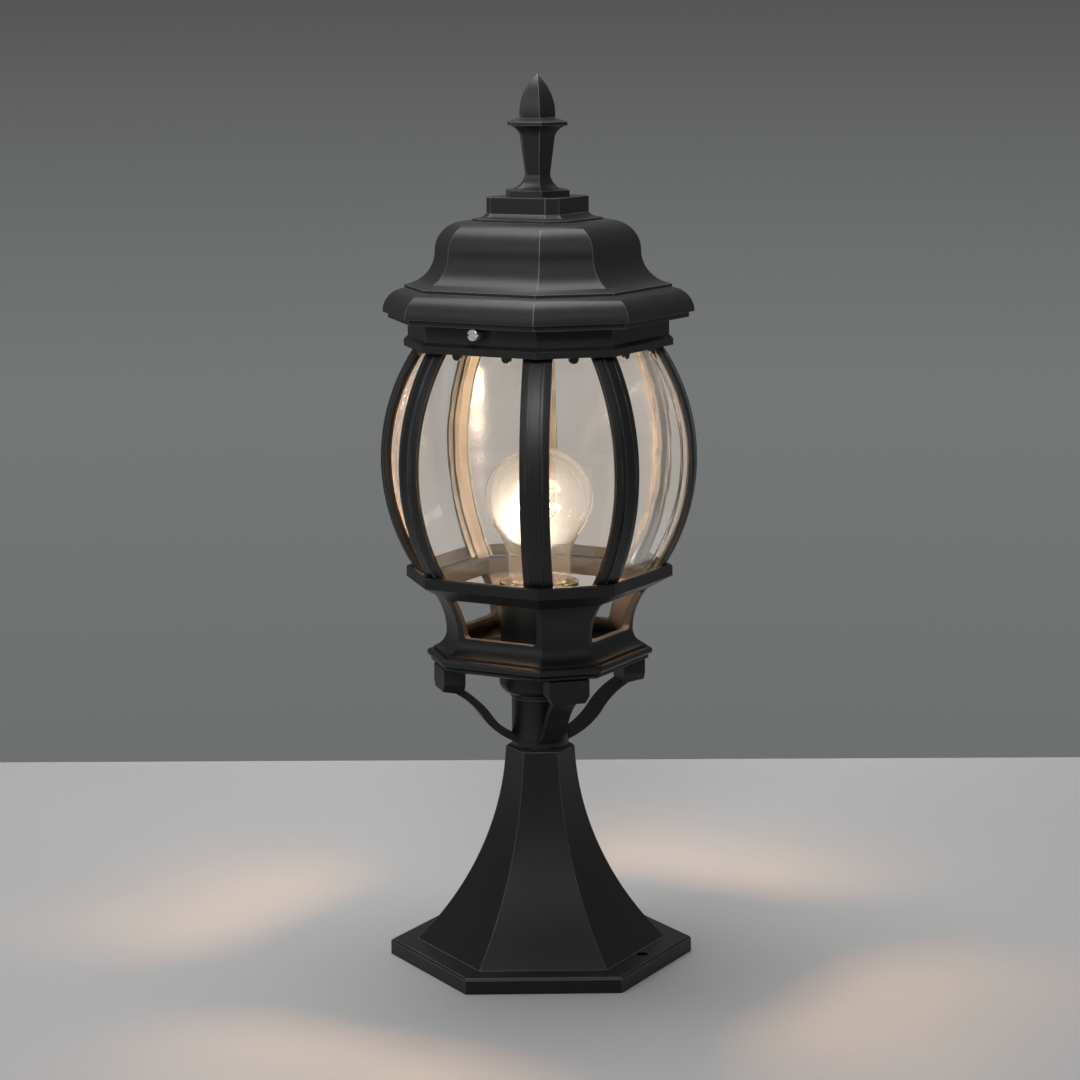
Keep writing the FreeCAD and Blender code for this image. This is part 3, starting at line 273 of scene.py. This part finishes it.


# %% [markdown]
# ## Soft edges on the castings
# A casting leaves its mould with small radii on every edge, and the coat fills them further. The CAD
# edges are knife sharp. They could be rounded in the CAD, but a bevel on a copy is lighter and keeps every
# size. The copy's loose triangles are merged and the flat ones joined into whole faces, and the bevel then
# rounds only the edges that really turn a corner. The bevel's own faces take the thin edge coat with its
# painted highlight, and the faces of the ribs that look at the bulb take the lighter coat of painted light.

# %% Castings
CASTINGS = {"pedestal_base": 0.8, "scroll_bracket": 0.9, "stem": 0.6, "gallery": 0.6, "frieze_ring": 0.5,
            "roof": 0.7, "roof_skirt": 0.5, "finial": 0.5, "lampholder_shell": 0.8}
COATS = {"lampholder_shell": [thermoset], "gallery": [full_coat]}
for n in range(1, 9):
    CASTINGS[f"rib_{n}"] = 0.25
    COATS[f"rib_{n}"] = [full_coat, thin_coat_and_highlight, lit_coat_facing_bulb]
ON_EDGES, FACING_BULB = 1, 2
MERGE = 0.002 * MM
FLAT = math.radians(0.4)
CREASE = math.radians(22)


def softened(node, radius_mm, finishes):
    bm = bmesh.new()
    bm.from_mesh(nodes[node].data)
    bmesh.ops.remove_doubles(bm, verts=bm.verts, dist=MERGE)
    bmesh.ops.dissolve_limit(bm, angle_limit=FLAT, verts=bm.verts, edges=bm.edges)
    for face in bm.faces:
        # Faces that look at the axis, toward the bulb, take the lighter coat: painted light from the bulb.
        faces_axis = face.normal.xy.dot(face.calc_center_median().xy) < 0
        face.material_index = FACING_BULB if len(finishes) > FACING_BULB and faces_axis else 0
    piece = finish_piece(f"{node}_cast", bm, finishes[0], nodes[node]["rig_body"], node)
    for finish in finishes[1:]:
        piece.data.materials.append(finish)
    soft = piece.modifiers.new("soft_edges", "BEVEL")
    soft.width = radius_mm * MM
    soft.segments = 3
    soft.limit_method = "ANGLE"
    soft.angle_limit = CREASE
    # Bevel faces take the paler edge coat: partly a thin coat, partly a painted highlight.
    soft.material = ON_EDGES if len(finishes) > ON_EDGES else -1
    level = piece.modifiers.new("flat_faces", "WEIGHTED_NORMAL")
    level.keep_sharp = True
    level.weight = 80


for node, radius_mm in CASTINGS.items():
    softened(node, radius_mm, COATS.get(node, [full_coat, thin_coat_and_highlight]))
print("castings softened:", len(CASTINGS))

# %% [markdown]
# ## Bent panes
# Every pane is bent one way only, up and down, so it is a strip of a wide cylinder lying on its side. A
# flat sheet could be bent by a modifier, but a spin gives the bow its exact radius. An edge wider than the
# pane is spun about the cylinder's axis, two upright planes cut the strip along the ribs' cores, and the
# sheet is then given its thickness.

# %% Panes
BULGE_RADIUS = 118.3 * MM
BEND_STEPS = 40
HALF_SPAN = 60 * MM
GLASS_THICK = 2.0 * MM
RIM_ROUND = 0.4 * MM
RIM_TURN = math.radians(50)
SMOOTH_TURN = math.radians(15)
SLANT = math.radians(22.5)
CORNER_REACH = 5.5 * MM  # how far the narrow sides of the lantern stand out past the wide ones
CORE_HALF = 3.0 * MM  # half of a rib's core, with the gap beside it
glass_low, glass_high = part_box("pane_1")
APOTHEM = glass_high.x
BULGE_LEVEL = glass_low.z + 65.6 * MM


# All eight panes share the wide panes' bow, so the narrow ones stand CORNER_REACH inside their solids.
def bent_pane(node, turn, side_shift):
    centre = Vector((APOTHEM - BULGE_RADIUS, 0, BULGE_LEVEL))
    low = math.asin((glass_low.z - BULGE_LEVEL) / BULGE_RADIUS)
    high = math.asin((glass_high.z - BULGE_LEVEL) / BULGE_RADIUS)
    bm = bmesh.new()
    start = centre + BULGE_RADIUS * Vector((math.cos(low), 0, math.sin(low)))
    ends = [bm.verts.new(start + Vector((0, y, 0))) for y in (-HALF_SPAN, HALF_SPAN)]
    edge = bm.edges.new(ends)
    bmesh.ops.spin(bm, geom=[*ends, edge], cent=centre, axis=(0, -1, 0), angle=high - low,
                   steps=BEND_STEPS)
    corner = side_shift * math.sqrt(2) * CORNER_REACH - CORE_HALF / math.cos(SLANT)
    for side in (1, -1):
        out = Vector((-math.sin(SLANT), side * math.cos(SLANT), 0))
        bmesh.ops.bisect_plane(bm, geom=[*bm.verts, *bm.edges, *bm.faces], plane_no=out,
                               plane_co=Vector((0, side * corner, 0)), clear_outer=True)
    bmesh.ops.recalc_face_normals(bm, faces=bm.faces)
    if sum(f.normal.x for f in bm.faces) < 0:
        bmesh.ops.reverse_faces(bm, faces=bm.faces)
    bmesh.ops.solidify(bm, geom=[*bm.verts, *bm.edges, *bm.faces], thickness=GLASS_THICK)
    bmesh.ops.recalc_face_normals(bm, faces=bm.faces)
    rims = [e for e in bm.edges if len(e.link_faces) == 2 and e.calc_face_angle() > RIM_TURN]
    bmesh.ops.bevel(bm, geom=rims, offset=RIM_ROUND, offset_type="OFFSET", segments=2, profile=0.5,
                    affect="EDGES", material=-1)
    for edge in bm.edges:
        edge.smooth = edge.calc_face_angle(0.0) < SMOOTH_TURN
    bmesh.ops.rotate(bm, verts=bm.verts, cent=(0, 0, 0), matrix=Matrix.Rotation(math.radians(turn), 3, "Z"))
    return finish_piece(f"{node}_bent", bm, pane_glass, "pedestal", node)


panes = [bent_pane(f"pane_{n}", 90 * (n - 1), 1) for n in range(1, 5)]
panes += [bent_pane(f"pane_{n}", 45 + 90 * (n - 5), -1) for n in range(5, 9)]
for pane in (panes[0], panes[4]):
    corners = [Vector(c) for c in pane.bound_box]
    print(pane.name, "reaches", round(max(c.xy.length for c in corners) / MM, 1), "mm out,",
          "z", round(min(c.z for c in corners) / MM, 1), "to", round(max(c.z for c in corners) / MM, 1))

# %% [markdown]
# ## The bulb
# A household bulb is blown into a mould: a ball on a neck. It could be pulled out of a sphere, but the
# neck would be hard to keep true. Instead, a few points down its side are spun once round and smoothed by
# subdivision, which gives the round shoulder that blown glass has. The mount inside is drawn the same way.
# Each pair of numbers is a radius and a height in millimetres.

# %% Bulb glass
SPIN_STEPS = 32


def spun(name, points_mm, finish, node, levels=2, wall_mm=0.0):
    bm = bmesh.new()
    row = [bm.verts.new((radius * MM, 0, height * MM)) for radius, height in points_mm]
    edges = [bm.edges.new(pair) for pair in zip(row, row[1:])]
    bmesh.ops.spin(bm, geom=[*row, *edges], cent=(0, 0, 0), axis=(0, 0, 1), angle=math.tau,
                   steps=SPIN_STEPS, use_merge=True)
    bmesh.ops.remove_doubles(bm, verts=bm.verts, dist=MERGE)
    bmesh.ops.recalc_face_normals(bm, faces=bm.faces)
    piece = finish_piece(name, bm, finish, "bulb", node)
    if wall_mm:
        wall = piece.modifiers.new("wall", "SOLIDIFY")
        wall.thickness = wall_mm * MM
        wall.offset = -1.0
    smooth = piece.modifiers.new("blown", "SUBSURF")
    smooth.levels = smooth.render_levels = levels


bulb_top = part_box("bulb_envelope")[1].z
GLOBE = [(12.2, -81.2), (12.4, -77.2), (13.0, -75.9), (15.8, -74.4), (17.3, -71.6), (17.6, -66.0),
         (17.5, -60.0), (18.7, -54.3), (22.0, -48.4), (26.4, -42.0), (29.8, -35.2), (31.1, -28.0),
         (29.6, -17.5), (23.7, -7.4), (12.6, 0.2), (0.0, 1.4)]
spun("bulb_blown", [(r, bulb_top / MM + h) for r, h in GLOBE], bulb_glass, "bulb_envelope", wall_mm=0.8)
mount_low, mount_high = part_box("bulb_mount")
foot, tall = mount_low.z / MM, (mount_high.z - mount_low.z) / MM
STALK = [(0, 0), (9.6, 0.2), (9.6, 1.2), (7.6, 5.0), (4.6, 11.0), (3.1, 20.0), (2.8, 34.0), (2.7, 46.0),
         (3.1, tall - 2), (2.2, tall - 0.3), (0, tall)]
spun("bulb_mount_drawn", [(r, foot + h) for r, h in STALK], bulb_glass, "bulb_mount")
print("bulb top at", round(bulb_top / MM, 1), "mm; mount", round(foot, 1), "to", round(foot + tall, 1))

# %% [markdown]
# ## The filament
# Tungsten wire is wound into a fine spring, and the spring is hung in a ring on its supports. Real wire is
# as thin as a hair, so it is drawn coarser here, or its turns would not show. A curve with a round bevel
# could give it too, but a spin makes the mesh at once: a small ring of vertices is spun with a sideways
# step, which winds a straight spring, and every vertex is then carried round the ring.

# %% Filament
coil_low, coil_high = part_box("filament")
coil_level = (coil_low.z + coil_high.z) / 2
RING_RADIUS = 11.0 * MM
RING_ANGLE = math.radians(290)
COIL_RADIUS = 0.9 * MM
WIRE_RADIUS = 0.2 * MM
TURNS = 64
TURN_STEPS = 12
bm = bmesh.new()
ring = bmesh.ops.create_circle(bm, segments=6, radius=WIRE_RADIUS, cap_ends=False)["verts"]
bmesh.ops.rotate(bm, verts=ring, cent=(0, 0, 0), matrix=Matrix.Rotation(math.pi / 2, 3, "X"))
bmesh.ops.translate(bm, verts=ring, vec=(COIL_RADIUS, 0, 0))
pitch = RING_RADIUS * RING_ANGLE / TURNS
bmesh.ops.spin(bm, geom=[*bm.verts, *bm.edges], cent=(0, 0, 0), axis=(0, 0, 1),
               dvec=(0, 0, pitch / TURN_STEPS), angle=math.tau * TURNS, steps=TURN_STEPS * TURNS)
for vert in bm.verts:
    along = vert.co.z / RING_RADIUS
    reach = RING_RADIUS + vert.co.x
    vert.co = Vector((reach * math.cos(along), reach * math.sin(along), coil_level + vert.co.y))
bmesh.ops.recalc_face_normals(bm, faces=bm.faces)
filament = finish_piece("filament_coil", bm, hot_tungsten, "bulb", "filament")
print("filament faces:", len(filament.data.polygons))

# %% [markdown]
# ## The screw cap and the clamp screws
# The bulb's cap is thin metal rolled into rounded threads. A true thread climbs as it goes round, but plain
# rings look the same at this size and close cleanly, so the cap's side is spun like the glass. The two
# clamp screws that hold the roof are turned steel with a slotted head, and their edges are broken in the
# same way as those of the castings.

# %% Cap and screws
cap_low, cap_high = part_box("bulb_cap")
THREAD_PITCH = 3.6
SCREW_EDGE = 0.25
CAP = [(0, 0), (3.6, 0.1), (4.4, 0.9), (4.4, 1.9), (7.5, 3.2), (11.2, 5.6)]
for turn in range(5):
    CAP += [(13.1, 7.6 + THREAD_PITCH * turn), (12.3, 9.4 + THREAD_PITCH * turn)]
CAP += [(12.9, 25.2), (13.1, 26.2), (12.6, 26.8), (12.3, 26.0)]
spun("bulb_cap_rolled", [(r, cap_low.z / MM + h) for r, h in CAP], nickel, "bulb_cap", levels=1)
for screw in ("roof_screw_front", "roof_screw_back"):
    softened(screw, SCREW_EDGE, [bright_zinc])
print("cap height:", round((cap_high.z - cap_low.z) / MM, 1), "mm")

# %% [markdown]
# ## Pieces that keep their CAD shape
# Nuts, washers, the tube, the lampholder's core and the wiring are plain turned or moulded pieces already,
# so each keeps its shape and takes the finish of its real material.

# %% Finishes on the kept pieces
KEPT = {
    zinc: ["bracket_screws", "finial_nut", "finial_washer", "tube_nut_lower", "tube_nut_upper",
           "tube_washer_lower", "threaded_tube", "terminal_bracket"],
    nickel: ["screw_shell"],
    brass: ["centre_contact", "terminal_screws"],
    steatite: ["lampholder_insert"],
    polyamide: ["terminal_block"],
    rubber: ["lamp_lead"],
    tungsten: ["filament_supports"],
}
for finish, names in KEPT.items():
    for name in names:
        nodes[name].data.materials.clear()
        nodes[name].data.materials.append(finish)
print("kept CAD pieces:", sum(len(names) for names in KEPT.values()))

# %% [markdown]
# ## The floor
# The lamp stands on a plain pale floor that ends behind it in a straight line. A flat grid is enough. It
# is turned to face the camera, and it is no part of the lamp.

# %% Floor
AZIMUTH = math.radians(29.04)
FLOOR_HALF = Vector((8.0, 6.0, 1.0))
FLOOR_END = 0.452
# Matt floor paint is an even pale grey that takes a soft shadow.
floor_paint = bpy.data.materials.new("floor_paint_pale_grey")
floor_paint.use_nodes = True
shader = floor_paint.node_tree.nodes["Principled BSDF"]
shader.inputs["Base Color"].default_value = linear("#a6a6a7")
shader.inputs["Roughness"].default_value = 0.55
bm = bmesh.new()
bmesh.ops.create_grid(bm, x_segments=1, y_segments=1, size=1.0)
bmesh.ops.scale(bm, verts=bm.verts, vec=FLOOR_HALF)
bmesh.ops.translate(bm, verts=bm.verts, vec=(0, FLOOR_END - FLOOR_HALF.y, 0))
bmesh.ops.rotate(bm, verts=bm.verts, cent=(0, 0, 0), matrix=Matrix.Rotation(AZIMUTH, 3, "Z"))
floor = as_object("floor", bm, floor_paint)
print("floor ends", FLOOR_END, "m behind the lamp")

# %% [markdown]
# ## The sky
# Behind the lamp is a grey wall of light, darkest at the top. It could be a lit backdrop, but the world can
# be told which rays ask: the camera sees the wall, rays through glass see a paler and warmer grey, gloss
# sees a plain one, and a dim even light does the rest.

# %% Sky
world = bpy.data.worlds.new("studio")
world.use_nodes = True
scene.world = world
tree = world.node_tree
ray = add(tree, "ShaderNodeLightPath")
look = add(tree, "ShaderNodeSeparateXYZ", {0: add(tree, "ShaderNodeTexCoord").outputs["Generated"]})
rise = add(tree, "ShaderNodeMapRange", {"Value": look.outputs["Z"], "From Min": -0.25, "From Max": 0.01})
lower = add(tree, "ShaderNodeMix", {"Factor": rise.outputs["Result"], "A": linear("#6d6f6f"),
                                    "B": linear("#7c7e7e")}, data_type="RGBA")
crown = add(tree, "ShaderNodeMapRange", {"Value": rise.outputs["Result"], "From Min": 0.5})
upper = add(tree, "ShaderNodeMix", {"Factor": crown.outputs["Result"], "A": lower.outputs[MIXED_COLOUR],
                                    "B": linear("#565656")}, data_type="RGBA")
sky = tree.nodes["Background"]
sky.inputs["Color"].default_value = linear("#d0d2d4")
sky.inputs["Strength"].default_value = 0.22
wall = add(tree, "ShaderNodeBackground", {"Color": upper.outputs[MIXED_COLOUR]})
behind_glass = add(tree, "ShaderNodeBackground", {"Color": linear("#b4aba5")})
in_gloss = add(tree, "ShaderNodeBackground", {"Color": linear("#6b6d6d")})
seen = sky
for kind, light in (("Is Glossy Ray", in_gloss), ("Is Transmission Ray", behind_glass),
                    ("Is Camera Ray", wall)):
    seen = add(tree, "ShaderNodeMixShader", {0: ray.outputs[kind], 1: seen.outputs[0], 2: light.outputs[0]})
tree.links.new(seen.outputs[0], tree.nodes["World Output"].inputs["Surface"])
print("sky nodes:", len(tree.nodes))

# %% [markdown]
# ## The lamps
# Three softboxes show the black surfaces by their sheen: one on the left, one above, and one high in
# front, with a grid that keeps its light on the roof. A small warm lamp inside the bulb does what the
# filament does, without the grain that a thin glowing wire would leave in the picture. A second, smaller
# one shows only as the glint of the coil in glossy surfaces.


# %% Lights
def softbox(name, place, aim, size, power, spread=180):
    lamp = bpy.data.lights.new(name, "AREA")
    lamp.shape = "RECTANGLE"
    lamp.size, lamp.size_y = size
    lamp.energy = power
    lamp.spread = math.radians(spread)
    box = bpy.data.objects.new(name, lamp)
    box.location = place
    box.rotation_euler = (Vector(aim) - Vector(place)).to_track_quat("-Z", "Y").to_euler()
    scene.collection.objects.link(box)


def coil_light(name, power, radius_mm, spot):
    lamp = bpy.data.lights.new(name, "POINT")
    lamp.energy = power
    lamp.color = linear("#ffd2a4")[:3]
    lamp.shadow_soft_size = radius_mm * MM
    bead = bpy.data.objects.new(name, lamp)
    bead.location = spot
    bead.visible_camera = bead.visible_transmission = False
    scene.collection.objects.link(bead)
    bead.parent = frame["bodies"]["bulb"]
    return bead


softbox("key_left", (-0.47, -1.60, 1.05), (0, 0, 0.28), (0.6, 1.2), 5.5)
softbox("front_high", (0.55, -1.15, 1.12), (0, 0, 0.48), (0.9, 0.3), 1.1, spread=30)
softbox("top", (-0.24, 0.10, 1.9), (0, 0, 0.2), (1.3, 1.1), 35)
FAR_SPOT = Vector((2.7 * MM, 4.9 * MM, coil_level))
coil_light("filament_light", 3.8, 16, (0, 0, coil_level)).visible_glossy = False
coil_light("filament_glint", 0.35, 5, FAR_SPOT).visible_diffuse = False

# %% [markdown]
# ## The glow round the coil
# A lit coil is thousands of times brighter than what stands round it, so the space about it seems to
# shine. That glow is light and no piece of the lamp, though it follows the bulb.
# It could be painted on the glass, but it would then sit on one side. A ball that has no surface, only a
# shining inside, fades with the distance from one spot, wherever the camera stands. The spot lies beside
# and below the coil, where the photo's glare is brightest. Mirror images in the panes get a second core,
# small, tall and strong, near the middle of the coil. Dull surfaces get none of the glow, because the small
# lamp lights them already.

# %% Glow
HOT_SPOT = Vector((-8.4 * MM, -4.7 * MM, coil_level - 10 * MM))
BALL_RADIUS = 27 * MM
TOP_GAP = 2 * MM
ROUND, UPRIGHT = Vector((1.0, 1.0, 1.0)), Vector((1.0, 1.0, 0.35))
shine = bpy.data.materials.new("light_round_a_lit_coil")
shine.use_nodes = True
tree = shine.node_tree
tree.nodes.remove(tree.nodes["Principled BSDF"])
place = add(tree, "ShaderNodeTexCoord").outputs["Object"]


def fading(spot, radius_mm, strength, form=ROUND):
    pressed = add(tree, "ShaderNodeVectorMath", {0: place, 1: form}, operation="MULTIPLY")
    apart = add(tree, "ShaderNodeVectorMath", {0: pressed.outputs["Vector"], 1: spot * form},
                operation="DISTANCE")
    share = add(tree, "ShaderNodeMath", {0: apart.outputs["Value"], 1: radius_mm * MM}, operation="DIVIDE")
    square = add(tree, "ShaderNodeMath", {0: share.outputs[0], 1: 2.0}, operation="POWER")
    minus = add(tree, "ShaderNodeMath", {0: square.outputs[0], 1: -1.0}, operation="MULTIPLY")
    fade = add(tree, "ShaderNodeMath", {0: minus.outputs[0]}, operation="EXPONENT")
    return add(tree, "ShaderNodeMath", {0: fade.outputs[0], 1: strength}, operation="MULTIPLY").outputs[0]


ray = add(tree, "ShaderNodeLightPath")
halo = add(tree, "ShaderNodeMath", {0: fading(HOT_SPOT, 13, 110.0), 1: fading(HOT_SPOT, 28, 19.0)},
           operation="ADD")
mirrored = add(tree, "ShaderNodeMath", {0: fading(FAR_SPOT, 4.5, 4000.0, UPRIGHT),
                                        1: ray.outputs["Glossy Depth"]}, operation="MULTIPLY")
both = add(tree, "ShaderNodeMath", {0: halo.outputs[0], 1: mirrored.outputs[0]}, operation="ADD")
direct = add(tree, "ShaderNodeMath", {0: 1.0, 1: ray.outputs["Is Diffuse Ray"]}, operation="SUBTRACT")
power = add(tree, "ShaderNodeMath", {0: both.outputs[0], 1: direct.outputs[0]}, operation="MULTIPLY")
light = add(tree, "ShaderNodeEmission", {"Color": linear("#ffe2cc"), "Strength": power.outputs[0]})
tree.links.new(light.outputs["Emission"], tree.nodes["Material Output"].inputs["Volume"])
bm = bmesh.new()
bmesh.ops.create_uvsphere(bm, u_segments=32, v_segments=16, radius=BALL_RADIUS)
bmesh.ops.translate(bm, verts=bm.verts, vec=(0, 0, bulb_top - BALL_RADIUS - TOP_GAP))
glow_ball = as_object("glow_ball", bm, shine)
glow_ball.parent = frame["bodies"]["bulb"]
print("glow round", [round(v / MM, 1) for v in HOT_SPOT])

# %% [markdown]
# ## The camera
# The photo was taken a little above the lamp, from 29 degrees round to the right of its front face, with a
# long lens tilted down about ten degrees. Three directions at right angles, leaned a little to one side,
# make the camera's matrix.

# %% Camera
TILT = math.radians(9.841)
ROLL = math.radians(-0.27)
STAND_BACK, STAND_RIGHT, STAND_HEIGHT = 1612.75 * MM, 0.386 * MM, 521.27 * MM
right = Vector((math.cos(AZIMUTH), math.sin(AZIMUTH), 0))
away = Vector((-math.sin(AZIMUTH), math.cos(AZIMUTH), 0))
ahead = away * math.cos(TILT) - Vector((0, 0, math.sin(TILT)))
up = right.cross(ahead)
leaned_right = right * math.cos(ROLL) + up * math.sin(ROLL)
leaned_up = up * math.cos(ROLL) - right * math.sin(ROLL)
lens = bpy.data.cameras.new("camera")
lens.sensor_width = 36.0
lens.lens = 96.82
lens.clip_end = 100.0
camera = bpy.data.objects.new("camera", lens)
camera.matrix_world = Matrix((leaned_right, leaned_up, -ahead)).transposed().to_4x4()
camera.location = right * STAND_RIGHT - away * STAND_BACK + Vector((0, 0, STAND_HEIGHT))
scene.collection.objects.link(camera)
scene.camera = camera
scene.view_settings.view_transform = "Standard"
print("camera at", [round(v, 3) for v in camera.location])
